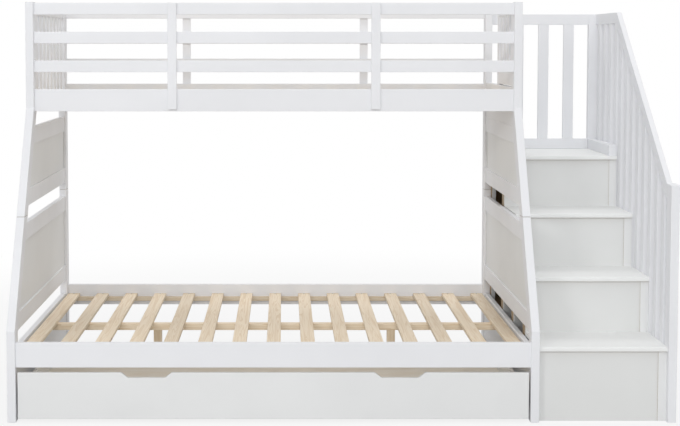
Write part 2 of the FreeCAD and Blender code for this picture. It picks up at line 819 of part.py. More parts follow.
def drawer_front():
    """Front board with two finger notches in its top edge."""
    x = (-drawer_half_front, drawer_half_front)
    d = (drawer_setback, drawer_front_back)
    solid = board(x, d, (drawer_floor_gap, drawer_front_top), along_x)
    notches = [notch(side * notch_spacing / 2) for side in both_sides]
    return solid.cut(notches + [drawer_bottom(drawer_groove_play)])


def drawer_walls():
    """Two sides and the back between them."""
    z = (drawer_wall_foot, drawer_wall_top)
    side_d = (drawer_front_back, drawer_back)
    back_d = (drawer_back - drawer_wall, drawer_back)
    sides = [mirrored(side, drawer_wall_inner, drawer_wall_outer) for side in both_sides]
    walls = [board(x, side_d, z, along_y) for x in sides]
    walls.append(board((-drawer_wall_inner, drawer_wall_inner), back_d, z, along_x))
    groove = drawer_bottom(drawer_groove_play)
    return [wall.cut(groove) for wall in walls]


def caster_places():
    """Middle of each wheel in x and d, with the words for its corner."""
    rows = (("front", batten_front + wheel_end_distance), ("back", batten_back - wheel_end_distance))
    sides = (("left", -batten_middle), ("right", batten_middle))
    return [(row + "_" + side, x, d) for row, d in rows for side, x in sides]


def ear(x, d):
    """Tapered ear of a caster bracket, rounded about the axle."""
    top = caster_height - bracket_sheet
    half = bracket_ear_top / 2
    reach = math.hypot(half, top - wheel_radius)
    tilt = math.atan2(half, top - wheel_radius) + math.acos(bracket_ear_round / reach)
    touch_d, touch_z = bracket_ear_round * math.sin(tilt), bracket_ear_round * math.cos(tilt)
    left_touch = at(x, d - touch_d, wheel_radius + touch_z)
    right_touch = at(x, d + touch_d, wheel_radius + touch_z)
    lowest = at(x, d, wheel_radius - bracket_ear_round)
    left_top, right_top = at(x, d - half, top), at(x, d + half, top)
    sides = [Part.LineSegment(left_top, left_touch), Part.Arc(left_touch, lowest, right_touch)]
    sides += [Part.LineSegment(right_touch, right_top), Part.LineSegment(right_top, left_top)]
    outline = Part.Wire([side.toShape() for side in sides])
    return Part.Face(outline).extrude(along_x * bracket_sheet)


def caster_bracket(x, d):
    """Pressed-steel fork: a top plate and two ears with holes for the axle."""
    half_x, half_d = bracket_plate_width / 2, bracket_plate_length / 2
    top = (caster_height - bracket_sheet, caster_height)
    fork = box((x - half_x, x + half_x), (d - half_d, d + half_d), top)
    fork = fork.fuse([ear(x + ear_inner, d), ear(x - ear_inner - bracket_sheet, d)])
    hole = rod(at(x - half_x, d, wheel_radius), along_x, axle_radius + axle_play, bracket_plate_width)
    return fork.cut(hole).removeSplitter()


def caster_axle(x, d):
    """Riveted pin with a head outside each ear."""
    outer = ear_inner + bracket_sheet
    pin = rod(at(x - outer, d, wheel_radius), along_x, axle_radius, 2 * outer)
    heads = [rod(at(x + outer, d, wheel_radius), along_x, axle_head_radius, axle_head_thickness)]
    heads.append(rod(at(x - outer, d, wheel_radius), -along_x, axle_head_radius, axle_head_thickness))
    return pin.fuse(heads).removeSplitter()


def wheel(x, d):
    """Plain roller with bevelled rims, bored for its axle."""
    start = at(x - wheel_width / 2, d, wheel_radius)
    tread_ring = rod(start, along_x, wheel_radius, wheel_width)
    rims = [e for e in tread_ring.Edges if abs(e.Length - 2 * math.pi * wheel_radius) < 0.01]
    rolled = tread_ring.makeChamfer(wheel_edge_bevel, rims)
    return rolled.cut(rod(start, along_x, axle_radius + axle_play, wheel_width))


def save_drawer():
    """Roll-out drawer with its battens, brackets, axles and wheels."""
    save("drawer_front", [drawer_front()])
    save("drawer_walls", drawer_walls())
    save("drawer_bottom", [drawer_bottom(0.0)])
    half = batten_width / 2
    batten_z = (caster_height, drawer_bottom_foot)
    batten_d = (batten_front, batten_back)
    places = [side * batten_middle for side in both_sides]
    save("drawer_battens", [board((x - half, x + half), batten_d, batten_z, along_y) for x in places])
    casters = caster_places()
    save("caster_brackets", [caster_bracket(x, d) for words, x, d in casters])
    save("caster_axles", [caster_axle(x, d) for words, x, d in casters])
    for words, x, d in casters:
        save("wheel_" + words, [wheel(x, d)])


os.makedirs("parts", exist_ok=True)
save_legs()
save_ends()
save_side_rails()
save_decks()
save_guards()
save_stairs()
save_banister()
save_drawer()
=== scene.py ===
import bpy
import bmesh
import math
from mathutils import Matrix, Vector


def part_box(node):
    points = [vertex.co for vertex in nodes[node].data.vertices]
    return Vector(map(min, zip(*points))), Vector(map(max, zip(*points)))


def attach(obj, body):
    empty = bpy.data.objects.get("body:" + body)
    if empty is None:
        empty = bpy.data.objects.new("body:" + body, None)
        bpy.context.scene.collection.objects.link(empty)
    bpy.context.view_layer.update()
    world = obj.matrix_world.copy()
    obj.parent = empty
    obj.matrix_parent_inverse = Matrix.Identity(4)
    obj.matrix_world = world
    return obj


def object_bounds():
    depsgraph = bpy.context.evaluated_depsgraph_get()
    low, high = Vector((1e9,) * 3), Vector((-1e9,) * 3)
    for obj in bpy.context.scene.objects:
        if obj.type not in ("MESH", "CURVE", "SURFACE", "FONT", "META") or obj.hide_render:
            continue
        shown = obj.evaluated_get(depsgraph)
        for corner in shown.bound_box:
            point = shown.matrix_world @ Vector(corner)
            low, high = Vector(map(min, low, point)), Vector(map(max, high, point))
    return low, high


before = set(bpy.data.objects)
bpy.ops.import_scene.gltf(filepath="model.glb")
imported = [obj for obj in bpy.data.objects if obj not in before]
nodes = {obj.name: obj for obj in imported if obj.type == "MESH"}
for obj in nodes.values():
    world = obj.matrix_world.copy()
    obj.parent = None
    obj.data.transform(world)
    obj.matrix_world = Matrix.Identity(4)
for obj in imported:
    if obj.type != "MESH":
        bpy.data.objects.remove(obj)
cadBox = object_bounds()
mm = 0.001
xAxis, yAxis, zAxis = 0, 1, 2
print("frame:", len(nodes), "pieces of the bed")


def linear(hexColour):  # sRGB hex to the linear colour that a shader takes
    channels = [int(hexColour[i:i + 2], 16) / 255 for i in (1, 3, 5)]
    curved = [c / 12.92 if c <= 0.04045 else ((c + 0.055) / 1.055) ** 2.4 for c in channels]
    return (*curved, 1.0)


def perMetre(size):  # pattern scale for a feature of that many millimetres
    return 1 / (size * mm)


def addNode(tree, kind, settings=None, feeds=None):
    made = tree.nodes.new(kind)
    for name, value in (settings or {}).items():
        setattr(made, name, value)
    for name, value in (feeds or {}).items():
        if isinstance(value, bpy.types.NodeSocket):
            tree.links.new(value, made.inputs[name])
        else:
            made.inputs[name].default_value = value
    return made


def newMaterial(name):
    material = bpy.data.materials.new(name)
    material.use_nodes = True
    material.node_tree.nodes.clear()
    return material, material.node_tree


def closeMaterial(tree, shader):
    addNode(tree, "ShaderNodeOutputMaterial", None, {"Surface": shader.outputs[0]})


# Places of the colour sockets on Blender's Mix node, and of the float ones on Random Value
mixA, mixB, mixOut = 6, 7, 2
randomMax, randomOut = 3, 1
mixColours = {"data_type": "RGBA", "clamp_factor": True}
smooth = {"interpolation_type": "SMOOTHSTEP"}

# White satin lacquer, sprayed on planed wood: an even cool white with a low sheen,
# faint clouds where the coat is thinner, on solid boards the long grain as soft ridges,
# and on the legs a painted grey shadow line where the upper bunk's leg stands on the lower one's.
lacquer = {
    "onPine": "#eff0f3",
    "onBoard": "#ebecec",        # the drawer and the panels are a more neutral white
    # onStairs is a more neutral white made darker as painted shade on the risers and the stair
    # back; onTreads is lighter as painted light on the treads' tops
    "onStairs": "#e6e7e6",
    "onTreads": "#f2f3f2",
    "rawBoard": "#a08a6c",       # the stairs' boards are left raw inside
    "rawFacing": (0.80, 0.95),   # how squarely a face looks inwards to be raw
    "thinCoat": 0.96,            # value of the colour where the coat is thin
    "endGrain": 0.90,            # and on sawn ends
    "endFacing": (0.93, 0.99),   # how squarely a face crosses the grain to be an end
    "roughness": 0.52,
    "sheenSpread": 0.08,         # roughness added where the coat is thin
    "ior": 1.45,
    "cloudSize": 320.0,          # mm
    "cloudRange": (0.35, 0.75),  # noise values of a full and of a thin coat
    "peelSize": 2.2,             # mm, the sprayed coat's orange peel
    "peelHeight": 0.012,         # mm
    "grainWidth": 6.0,           # mm, about twice as wide as real so that it shows
    "grainLength": 260.0,        # mm
    "grainHeight": 0.008,        # mm
    "seamPaintedShadow": "#c4c2be",
    "seamWidth": 2.6,            # mm of painted shadow, wider than the groove itself so that it shows
}


def makeLacquer(name, white, grainAxis=None, rawSide=None, seamHeight=None):
    # rawSide: axis and sign of the face that is left without lacquer
    material, tree = newMaterial(name)
    coords = addNode(tree, "ShaderNodeTexCoord")
    place = coords.outputs["Object"]
    clouds = addNode(tree, "ShaderNodeTexNoise", None,
                     {"Vector": place, "Scale": perMetre(lacquer["cloudSize"]), "Detail": 3.0})
    full, bare = lacquer["cloudRange"]
    thin = addNode(tree, "ShaderNodeMapRange", None,
                   {"Value": clouds.outputs["Fac"], "From Min": full, "From Max": bare})
    peel = addNode(tree, "ShaderNodeTexNoise", None,
                   {"Vector": place, "Scale": perMetre(lacquer["peelSize"]), "Detail": 1.0})
    coat = addNode(tree, "ShaderNodeBump", None,
                   {"Height": peel.outputs["Fac"], "Distance": lacquer["peelHeight"] * mm})
    value = addNode(tree, "ShaderNodeMapRange", None,
                    {"Value": thin.outputs[0], "To Min": 1.0, "To Max": lacquer["thinCoat"]})
    if grainAxis is not None or rawSide is not None:
        facing = addNode(tree, "ShaderNodeSeparateXYZ", None, {0: coords.outputs["Normal"]}).outputs
    if grainAxis is not None:
        stretch = [perMetre(lacquer["grainWidth"])] * 3
        stretch[grainAxis] = perMetre(lacquer["grainLength"])
        along = addNode(tree, "ShaderNodeMapping", None, {"Vector": place, "Scale": stretch})
        grain = addNode(tree, "ShaderNodeTexNoise", None,
                        {"Vector": along.outputs[0], "Scale": 1.0, "Detail": 3.0})
        coat = addNode(tree, "ShaderNodeBump", None,
                       {"Height": grain.outputs["Fac"], "Distance": lacquer["grainHeight"] * mm,
                        "Normal": coat.outputs[0]})
        across = addNode(tree, "ShaderNodeMath", {"operation": "ABSOLUTE"},
                         {0: facing[grainAxis]})
        side, end = lacquer["endFacing"]
        cut = addNode(tree, "ShaderNodeMapRange", None,
                      {"Value": across.outputs[0], "From Min": side, "From Max": end})
        value = addNode(tree, "ShaderNodeMapRange", None,
                        {"Value": cut.outputs[0], "To Min": value.outputs[0],
                         "To Max": lacquer["endGrain"]})
    colour = addNode(tree, "ShaderNodeHueSaturation", None,
                     {"Color": linear(white), "Value": value.outputs[0]}).outputs[0]
    if rawSide is not None:
        axis, sign = rawSide
        coated, raw = lacquer["rawFacing"]
        inside = addNode(tree, "ShaderNodeMapRange", None,
                         {"Value": facing[axis], "From Min": sign * coated,
                          "From Max": sign * raw})
        board = linear(lacquer["rawBoard"])
        colour = addNode(tree, "ShaderNodeMix", mixColours,
                         {0: inside.outputs[0], mixA: colour, mixB: board}).outputs[mixOut]
    # A grey band of painted shadow at the groove where the leg's two lengths meet
    if seamHeight is not None:
        height = addNode(tree, "ShaderNodeSeparateXYZ", None, {0: place}).outputs["Z"]
        seam = addNode(tree, "ShaderNodeMath", {"operation": "COMPARE"},
                       {0: height, 1: seamHeight, 2: lacquer["seamWidth"] / 2 * mm})
        shade = linear(lacquer["seamPaintedShadow"])
        colour = addNode(tree, "ShaderNodeMix", mixColours,
                         {0: seam.outputs[0], mixA: colour, mixB: shade}).outputs[mixOut]
    gloss = addNode(tree, "ShaderNodeMapRange", None,
                    {"Value": thin.outputs[0], "To Min": lacquer["roughness"],
                     "To Max": lacquer["roughness"] + lacquer["sheenSpread"]})
    shader = addNode(tree, "ShaderNodeBsdfPrincipled", None,
                     {"Base Color": colour, "Roughness": gloss.outputs[0],
                      "Normal": coat.outputs[0], "IOR": lacquer["ior"]})
    closeMaterial(tree, shader)
    return material


# Scots pine, planed and left bare: straw early wood with narrow tan late wood along the board,
# a few small knots, and each slat a little darker or paler than the next.
barePine = {
    "early": "#eddec7",
    "late": "#dcc6a7",
    "knot": "#8f6238",
    "toneSpread": 0.14,       # how much one slat's value differs from the next
    "roughness": 0.58,
    "ior": 1.5,
    "logShift": (3.0, 3.0, 3.0),  # m, over which the boards' places in the log are spread
    "ringWidth": 13.0,        # mm, size of the growth pattern on a flat-sawn face
    "ringWander": 420.0,      # mm over which a line wanders sideways
    "ringScale": 0.55,
    "ringCount": 7.0,         # late wood lines from one end of the growth noise to the other
    "lateEdge": (0.35, 0.95),  # share of a ring where late wood begins and is full
    "fibreWidth": 1.4,        # mm
    "fibreLength": 70.0,      # mm
    "fibreHeight": 0.05,      # mm
    "fibreShare": 0.5,        # weight of the fibres beside the rings
    "figureRange": (0.1, 1.5),
    "knotSpacing": (95.0, 420.0),  # mm across and along the board
    "knotRadius": (0.10, 0.05),    # of the spacing, at the rim and where it is full
    "knotShare": 0.62,        # cells above this random value hold a knot
}


def makePine(name, grainAxis, boardAxis, boardPitch, boardStart):
    material, tree = newMaterial(name)
    place = addNode(tree, "ShaderNodeTexCoord").outputs["Object"]
    split = addNode(tree, "ShaderNodeSeparateXYZ", None, {0: place})
    fromStart = addNode(tree, "ShaderNodeMath", {"operation": "SUBTRACT"},
                        {0: split.outputs[boardAxis], 1: boardStart})
    pitches = addNode(tree, "ShaderNodeMath", {"operation": "DIVIDE"},
                      {0: fromStart.outputs[0], 1: boardPitch})
    board = addNode(tree, "ShaderNodeMath", {"operation": "FLOOR"}, {0: pitches.outputs[0]})
    chance = addNode(tree, "ShaderNodeTexWhiteNoise", {"noise_dimensions": "1D"},
                     {"W": board.outputs[0]})
    # Each board is cut from another place in the log
    shifted = addNode(tree, "ShaderNodeVectorMath", {"operation": "MULTIPLY_ADD"},
                      {0: chance.outputs["Color"], 1: barePine["logShift"], 2: place})
    log = shifted.outputs[0]
    ringScale = [perMetre(barePine["ringWidth"])] * 3
    ringScale[grainAxis] = perMetre(barePine["ringWander"])
    rings = addNode(tree, "ShaderNodeMapping", None, {"Vector": log, "Scale": ringScale})
    growth = addNode(tree, "ShaderNodeTexNoise", None,
                     {"Vector": rings.outputs[0], "Scale": barePine["ringScale"], "Detail": 2.0,
                      "Distortion": 0.8})
    years = addNode(tree, "ShaderNodeMath", {"operation": "MULTIPLY"},
                    {0: growth.outputs["Fac"], 1: barePine["ringCount"]})
    season = addNode(tree, "ShaderNodeMath", {"operation": "FRACT"}, {0: years.outputs[0]})
    begins, ends = barePine["lateEdge"]
    lateWood = addNode(tree, "ShaderNodeMapRange", smooth,
                       {"Value": season.outputs[0], "From Min": begins, "From Max": ends})
    fibreScale = [perMetre(barePine["fibreWidth"])] * 3
    fibreScale[grainAxis] = perMetre(barePine["fibreLength"])
    strands = addNode(tree, "ShaderNodeMapping", None, {"Vector": log, "Scale": fibreScale})
    fibre = addNode(tree, "ShaderNodeTexNoise", None,
                    {"Vector": strands.outputs[0], "Scale": 1.0, "Detail": 3.0})
    figure = addNode(tree, "ShaderNodeMath", {"operation": "MULTIPLY_ADD"},
                     {0: fibre.outputs["Fac"], 1: barePine["fibreShare"], 2: lateWood.outputs[0]})
    pale, dark = barePine["figureRange"]
    blend = addNode(tree, "ShaderNodeMapRange", None,
                    {"Value": figure.outputs[0], "From Min": pale, "From Max": dark})
    wood = addNode(tree, "ShaderNodeMix", mixColours,
                   {0: blend.outputs[0], mixA: linear(barePine["early"]),
                    mixB: linear(barePine["late"])})
    across, along = barePine["knotSpacing"]
    knotScale = [perMetre(across)] * 3
    knotScale[grainAxis] = perMetre(along)
    cells = addNode(tree, "ShaderNodeMapping", None, {"Vector": log, "Scale": knotScale})
    knots = addNode(tree, "ShaderNodeTexVoronoi", None, {"Vector": cells.outputs[0], "Scale": 1.0})
    rim, core = barePine["knotRadius"]
    disc = addNode(tree, "ShaderNodeMapRange", smooth,
                   {"Value": knots.outputs["Distance"], "From Min": rim, "From Max": core})
    lot = addNode(tree, "ShaderNodeSeparateColor", None, {0: knots.outputs["Color"]})
    held = addNode(tree, "ShaderNodeMath", {"operation": "GREATER_THAN"},
                   {0: lot.outputs[0], 1: barePine["knotShare"]})
    knot = addNode(tree, "ShaderNodeMath", {"operation": "MULTIPLY"},
                   {0: disc.outputs[0], 1: held.outputs[0]})
    knotted = addNode(tree, "ShaderNodeMix", mixColours,
                      {0: knot.outputs[0], mixA: wood.outputs[mixOut],
                       mixB: linear(barePine["knot"])})
    tone = addNode(tree, "ShaderNodeMapRange", None,
                   {"Value": chance.outputs["Value"], "To Min": 1 - barePine["toneSpread"] / 2,
                    "To Max": 1 + barePine["toneSpread"] / 2})
    colour = addNode(tree, "ShaderNodeHueSaturation", None,
                     {"Color": knotted.outputs[mixOut], "Value": tone.outputs[0]})
    planed = addNode(tree, "ShaderNodeBump", None,
                     {"Height": figure.outputs[0], "Distance": barePine["fibreHeight"] * mm})
    shader = addNode(tree, "ShaderNodeBsdfPrincipled", None,
                     {"Base Color": colour.outputs[0], "Roughness": barePine["roughness"],
                      "Normal": planed.outputs[0], "IOR": barePine["ior"]})
    closeMaterial(tree, shader)
    return material


# Birch plywood, sanded: a pale warm sheet with broad rotary-cut figure that drifts along it.
plywood = {
    "pale": "#f4f0e8",
    "figure": "#ece5d8",
    "roughness": 0.55,
    "ior": 1.5,
    "figureWidth": 45.0,         # mm
    "figureLength": 420.0,       # mm
    "figureRange": (0.4, 0.7),   # noise values from pale to full figure
    "poreHeight": 0.03,          # mm
}


def makePlywood(name):
    material, tree = newMaterial(name)
    place = addNode(tree, "ShaderNodeTexCoord").outputs["Object"]
    scale = [perMetre(plywood["figureWidth"])] * 3
    scale[xAxis] = perMetre(plywood["figureLength"])
    sheet = addNode(tree, "ShaderNodeMapping", None, {"Vector": place, "Scale": scale})
    figure = addNode(tree, "ShaderNodeTexNoise", None,
                     {"Vector": sheet.outputs[0], "Scale": 1.0, "Detail": 6.0, "Distortion": 1.2})
    clear, full = plywood["figureRange"]
    bands = addNode(tree, "ShaderNodeMapRange", smooth,
                    {"Value": figure.outputs["Fac"], "From Min": clear, "From Max": full})
    colour = addNode(tree, "ShaderNodeMix", mixColours,
                     {0: bands.outputs[0], mixA: linear(plywood["pale"]),
                      mixB: linear(plywood["figure"])})
    sanded = addNode(tree, "ShaderNodeBump", None,
                     {"Height": figure.outputs["Fac"], "Distance": plywood["poreHeight"] * mm})
    shader = addNode(tree, "ShaderNodeBsdfPrincipled", None,
                     {"Base Color": colour.outputs[mixOut], "Roughness": plywood["roughness"],
                      "Normal": sanded.outputs[0], "IOR": plywood["ior"]})
    closeMaterial(tree, shader)
    return material


# Zinc-plated pressed steel: bluish grey, a little cloudy, with a blurred reflection.
zincSteel = {
    "bright": "#c3c6ca",
    "dull": "#a3a8ae",
    "roughness": (0.28, 0.46),
    "spangle": 7.0,        # mm
    "pressMark": 0.01,     # mm
}


def makeZincSteel(name):
    material, tree = newMaterial(name)
    place = addNode(tree, "ShaderNodeTexCoord").outputs["Object"]
    plating = addNode(tree, "ShaderNodeTexNoise", None,
                      {"Vector": place, "Scale": perMetre(zincSteel["spangle"]), "Detail": 4.0})
    colour = addNode(tree, "ShaderNodeMix", mixColours,
                     {0: plating.outputs["Fac"], mixA: linear(zincSteel["bright"]),
                      mixB: linear(zincSteel["dull"])})
    sharp, blurred = zincSteel["roughness"]
    gloss = addNode(tree, "ShaderNodeMapRange", None,
                    {"Value": plating.outputs["Fac"], "To Min": sharp, "To Max": blurred})
    pressed = addNode(tree, "ShaderNodeBump", None,
                      {"Height": plating.outputs["Fac"], "Distance": zincSteel["pressMark"] * mm})
    shader = addNode(tree, "ShaderNodeBsdfPrincipled", None,
                     {"Base Color": colour.outputs[mixOut], "Metallic": 1.0,
                      "Roughness": gloss.outputs[0], "Normal": pressed.outputs[0]})
    closeMaterial(tree, shader)
    return material


# Moulded nylon: near-black grey with a fine spark-eroded grain that dulls the gloss.
nylon = {
    "colour": "#2c2d2f",
    "scuffed": "#4a4b4c",
    "roughness": 0.52,
    "ior": 1.53,
    "grainSize": 0.9,          # mm
    "grainHeight": 0.02,       # mm
    "scuffSize": 14.0,         # mm
    "scuffRange": (0.5, 0.8),  # noise values from clean to worn
}


def makeNylon(name):
    material, tree = newMaterial(name)
    place = addNode(tree, "ShaderNodeTexCoord").outputs["Object"]
    grain = addNode(tree, "ShaderNodeTexNoise", None,
                    {"Vector": place, "Scale": perMetre(nylon["grainSize"]), "Detail": 2.0})
    scuffs = addNode(tree, "ShaderNodeTexNoise", None,
                     {"Vector": place, "Scale": perMetre(nylon["scuffSize"]), "Detail": 6.0})
    clean, rubbed = nylon["scuffRange"]
    worn = addNode(tree, "ShaderNodeMapRange", None,
                   {"Value": scuffs.outputs["Fac"], "From Min": clean, "From Max": rubbed})
    colour = addNode(tree, "ShaderNodeMix", mixColours,
                     {0: worn.outputs[0], mixA: linear(nylon["colour"]),
                      mixB: linear(nylon["scuffed"])})
    eroded = addNode(tree, "ShaderNodeBump", None,
                     {"Height": grain.outputs["Fac"], "Distance": nylon["grainHeight"] * mm})
    shader = addNode(tree, "ShaderNodeBsdfPrincipled", None,
                     {"Base Color": colour.outputs[mixOut], "Roughness": nylon["roughness"],
                      "Normal": eroded.outputs[0], "IOR": nylon["ior"]})
    closeMaterial(tree, shader)
    return material


# Slats lie at one pitch, so the pine takes a new tone at each
slatCount = 15
slatWidth = 57 * mm
slatLow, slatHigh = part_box("lower_slats")
slatPitch = (slatHigh.x - slatLow.x - slatWidth) / (slatCount - 1)
slatGap = slatPitch - slatWidth
bedLow = cadBox[0]
stripPitch, legPitch = 300 * mm, 500 * mm  # so that strips and legs differ in tone as well

onPine, onBoard, onStairs = lacquer["onPine"], lacquer["onBoard"], lacquer["onStairs"]
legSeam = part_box("lower_back_legs")[1].z
boardLacquer = makeLacquer("satin lacquer on board", onBoard)
# The risers' darker white is painted shade and the treads' lighter white is painted light
riserLacquer = makeLacquer("satin lacquer on risers", onStairs, rawSide=(yAxis, 1))
treadLacquer = makeLacquer("satin lacquer on treads", lacquer["onTreads"], rawSide=(zAxis, -1))
stairSideLacquer = makeLacquer("satin lacquer on the stair side", onBoard, rawSide=(xAxis, -1))
stairBackLacquer = makeLacquer("satin lacquer on the stair back", onStairs, rawSide=(yAxis, -1))
plainLacquer = makeLacquer("satin lacquer on slats and short rails", onPine)
legLacquer = makeLacquer("satin lacquer on legs", onPine, zAxis, seamHeight=legSeam)
grainNames = ["satin lacquer on pine, grain along " + axis for axis in "xyz"]
grainedLacquer = [makeLacquer(name, onPine, axis) for axis, name in enumerate(grainNames)]
slatPine = makePine("bare pine slats", yAxis, xAxis, slatPitch, slatLow.x - slatGap / 2)
railPine = makePine("bare pine strips", xAxis, yAxis, stripPitch, bedLow[yAxis])
legPine = makePine("bare pine legs", zAxis, xAxis, legPitch, bedLow[xAxis])
battenPine = makePine("bare pine battens", yAxis, xAxis, legPitch, bedLow[xAxis])
birchPlywood = makePlywood("sanded birch plywood")
platedSteel = makeZincSteel("zinc-plated steel")
wheelNylon = makeNylon("moulded nylon")

# Each finish, and how the names of its pieces begin
finishes = {
    boardLacquer: ["lower_end_panel", "upper_end_panel", "drawer_front", "drawer_walls"],
    riserLacquer: ["stair_risers"],
    treadLacquer: ["stair_treads", "stair_platform"],
    stairSideLacquer: ["stair_side_panel", "stair_uprights"],
    stairBackLacquer: ["stair_back_panel"],
    plainLacquer: ["platform_guard_rails", "left_guard_slats", "right_guard_slats",
                   "stair_balusters", "platform_back_slats"],
    grainedLacquer[xAxis]: ["lower_front_rail", "lower_back_rail", "upper_front_rail",
                            "upper_back_rail", "front_guard_rails", "back_guard_rails"],
    grainedLacquer[yAxis]: ["lower_end_rails", "upper_end_rails", "end_aprons",
                            "left_deck_end_rail", "right_deck_end_rail", "left_guard_top_rail",
                            "right_guard_rails", "stair_handrail"],
    grainedLacquer[zAxis]: ["guard_posts", "entrance_post", "newel_post", "stair_corner_post"],
    legLacquer: ["lower_front_leg", "upper_front_leg", "lower_back_legs", "upper_back_legs"],
    slatPine: ["lower_slats", "upper_slats"],
    railPine: ["slat_cleats", "centre_beam"],
    legPine: ["centre_support_legs"],
    battenPine: ["drawer_battens"],
    birchPlywood: ["drawer_bottom"],
    platedSteel: ["bed_bolts", "barrel_nuts", "stacking_dowels", "caster_brackets", "caster_axles"],
    wheelNylon: ["wheel_"],
}


def paintPieces():
    for finish, names in finishes.items():
        for piece in [o for n, o in nodes.items() if n.startswith(tuple(names))]:
            piece.data.materials.clear()
            piece.data.materials.append(finish)


paintPieces()
bare = [n for n, o in nodes.items() if o.data.materials[0] not in finishes]
print("finishes:", len(finishes), "materials, pieces left bare:", bare)

# Pan-head screws with a cross recess, as on slats and caster plates
screw = {
    "radius": 3.4,        # mm
    "height": 0.9,        # mm above the wood
    "shoulder": 0.495,    # mm above the wood, where the rounding begins
    "root": 0.6,          # mm below the wood
    "crown": 2.6,         # mm, radius where the rounding ends
    "recess": (1.9, 0.85, 0.55, 0.85),  # mm, the cross's outline over a quarter turn
    "recessFloor": 0.2,   # mm above the wood
    "recessTaper": 0.8,   # size of the recess at its floor
}


def makeScrewHead(name):
    mesh = bpy.data.meshes.new(name)
    shape = bmesh.new()
    quarter = screw["recess"]
    steps = 4 * len(quarter)
    profile = [(screw["radius"], -screw["root"]), (screw["radius"], screw["shoulder"]),
               (screw["crown"], screw["height"])]
    rings = [[(r, z) for i in range(steps)] for r, z in profile]
    rings.append([(quarter[i % len(quarter)], screw["height"]) for i in range(steps)])
    rings.append([(quarter[i % len(quarter)] * screw["recessTaper"], screw["recessFloor"])
                  for i in range(steps)])
    loops = []
    for ring in rings:
        turned = [(2 * math.pi * i / steps, r * mm, z * mm) for i, (r, z) in enumerate(ring)]
        loops.append([shape.verts.new((r * math.cos(a), r * math.sin(a), z)) for a, r, z in turned])
    for low, high in zip(loops, loops[1:]):
        for i in range(steps):
            j = (i + 1) % steps
            shape.faces.new((low[i], low[j], high[j], high[i]))
    shape.faces.new(loops[-1])
    shape.faces.new(loops[0][::-1])
    shape.to_mesh(mesh)
    shape.free()
    return bpy.data.objects.new(name, mesh)


def makeRowTree(name, levels):
    # Nested straight rows: a row of heads, rows of that row, and so on
    tree = bpy.data.node_groups.new(name, "GeometryNodeTree")
    wanted = [("First", "NodeSocketVector"), ("Facing", "NodeSocketVector"),
              ("Head", "NodeSocketObject"), ("Finish", "NodeSocketMaterial"),
              ("Seed", "NodeSocketInt")]
    for level in range(levels):
        wanted += [("Count %d" % level, "NodeSocketInt"), ("Step %d" % level, "NodeSocketVector")]
    for label, kind in wanted:
        tree.interface.new_socket(name=label, in_out="INPUT", socket_type=kind)
    tree.interface.new_socket(name="Geometry", in_out="OUTPUT", socket_type="NodeSocketGeometry")
    given = addNode(tree, "NodeGroupInput").outputs
    points = None
    for level in range(levels):
        feeds = {"Count": given["Count %d" % level], "Offset": given["Step %d" % level]}
        if points is None:
            feeds["Start Location"] = given["First"]
        row = addNode(tree, "GeometryNodeMeshLine", None, feeds)
        if points is not None:
            copies = addNode(tree, "GeometryNodeInstanceOnPoints", None,
                             {"Points": row.outputs[0], "Instance": points})
            row = addNode(tree, "GeometryNodeRealizeInstances", None, {0: copies.outputs[0]})
        points = row.outputs[0]
    head = addNode(tree, "GeometryNodeObjectInfo", None, {"Object": given["Head"]})
    placed = addNode(tree, "GeometryNodeInstanceOnPoints", None,
                     {"Points": points, "Instance": head.outputs["Geometry"],
                      "Rotation": given["Facing"]})
    turn = addNode(tree, "FunctionNodeRandomValue", {"data_type": "FLOAT"},
                   {"Seed": given["Seed"], randomMax: 2 * math.pi})
    spin = addNode(tree, "ShaderNodeCombineXYZ", None, {"Z": turn.outputs[randomOut]})
    driven = addNode(tree, "GeometryNodeRotateInstances", None,
                     {"Instances": placed.outputs[0], "Rotation": spin.outputs[0]})
    solid = addNode(tree, "GeometryNodeRealizeInstances", None, {0: driven.outputs[0]})
    finished = addNode(tree, "GeometryNodeSetMaterial", None,
                       {"Geometry": solid.outputs[0], "Material": given["Finish"]})
    addNode(tree, "NodeGroupOutput", None, {0: finished.outputs[0]})
    return tree


rowLevels = 4
screwHead = makeScrewHead("screwHead")
screwRows = makeRowTree("screw rows", rowLevels)


def driveScrews(name, body, first, facing, rows, seed):
    # rows: up to four (count, step) pairs, from the innermost out
    holder = bpy.data.objects.new(name, bpy.data.meshes.new(name))
    bpy.context.scene.collection.objects.link(holder)
    modifier = holder.modifiers.new("rows", "NODES")
    modifier.node_group = screwRows
    values = {"First": first, "Facing": facing, "Head": screwHead, "Finish": platedSteel,
              "Seed": seed}
    padded = rows + [(1, (0, 0, 0))] * (rowLevels - len(rows))
    for level, (count, step) in enumerate(padded):
        values["Count %d" % level] = count
        values["Step %d" % level] = step
    for item in screwRows.interface.items_tree:
        if item.in_out == "INPUT":
            modifier[item.identifier] = values[item.name]
    ready = holder.evaluated_get(bpy.context.evaluated_depsgraph_get())
    mesh = bpy.data.meshes.new_from_object(ready)
    holder.modifiers.clear()
    holder.data = mesh
    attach(holder, body)
    print("screws:", name, len(mesh.polygons), "faces")
    return holder


facingUp, facingDown = (0.0, 0.0, 0.0), (math.pi, 0.0, 0.0)
facingBack, facingFront = (-math.pi / 2, 0.0, 0.0), (math.pi / 2, 0.0, 0.0)

# Each slat has one screw at either end, in the middle of its cleat
cleatWidth = 20 * mm


def screwDeck(name, slats, seed):
    low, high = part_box(slats)
    first = (low.x + slatWidth / 2, low.y + cleatWidth / 2, high.z)
    across = (0, high.y - low.y - cleatWidth, 0)
    driveScrews(name, "frame", first, facingUp, [(slatCount, (slatPitch, 0, 0)), (2, across)], seed)


screwDeck("lower_slat_screws", "lower_slats", seed=11)
screwDeck("upper_slat_screws", "upper_slats", seed=12)

# The flat guard posts are screwed on from the bed side, through each guard rail
guard = {"postWidth": 38 * mm, "posts": 2, "railHeight": 49 * mm, "railPitch": 121 * mm, "rails": 3}


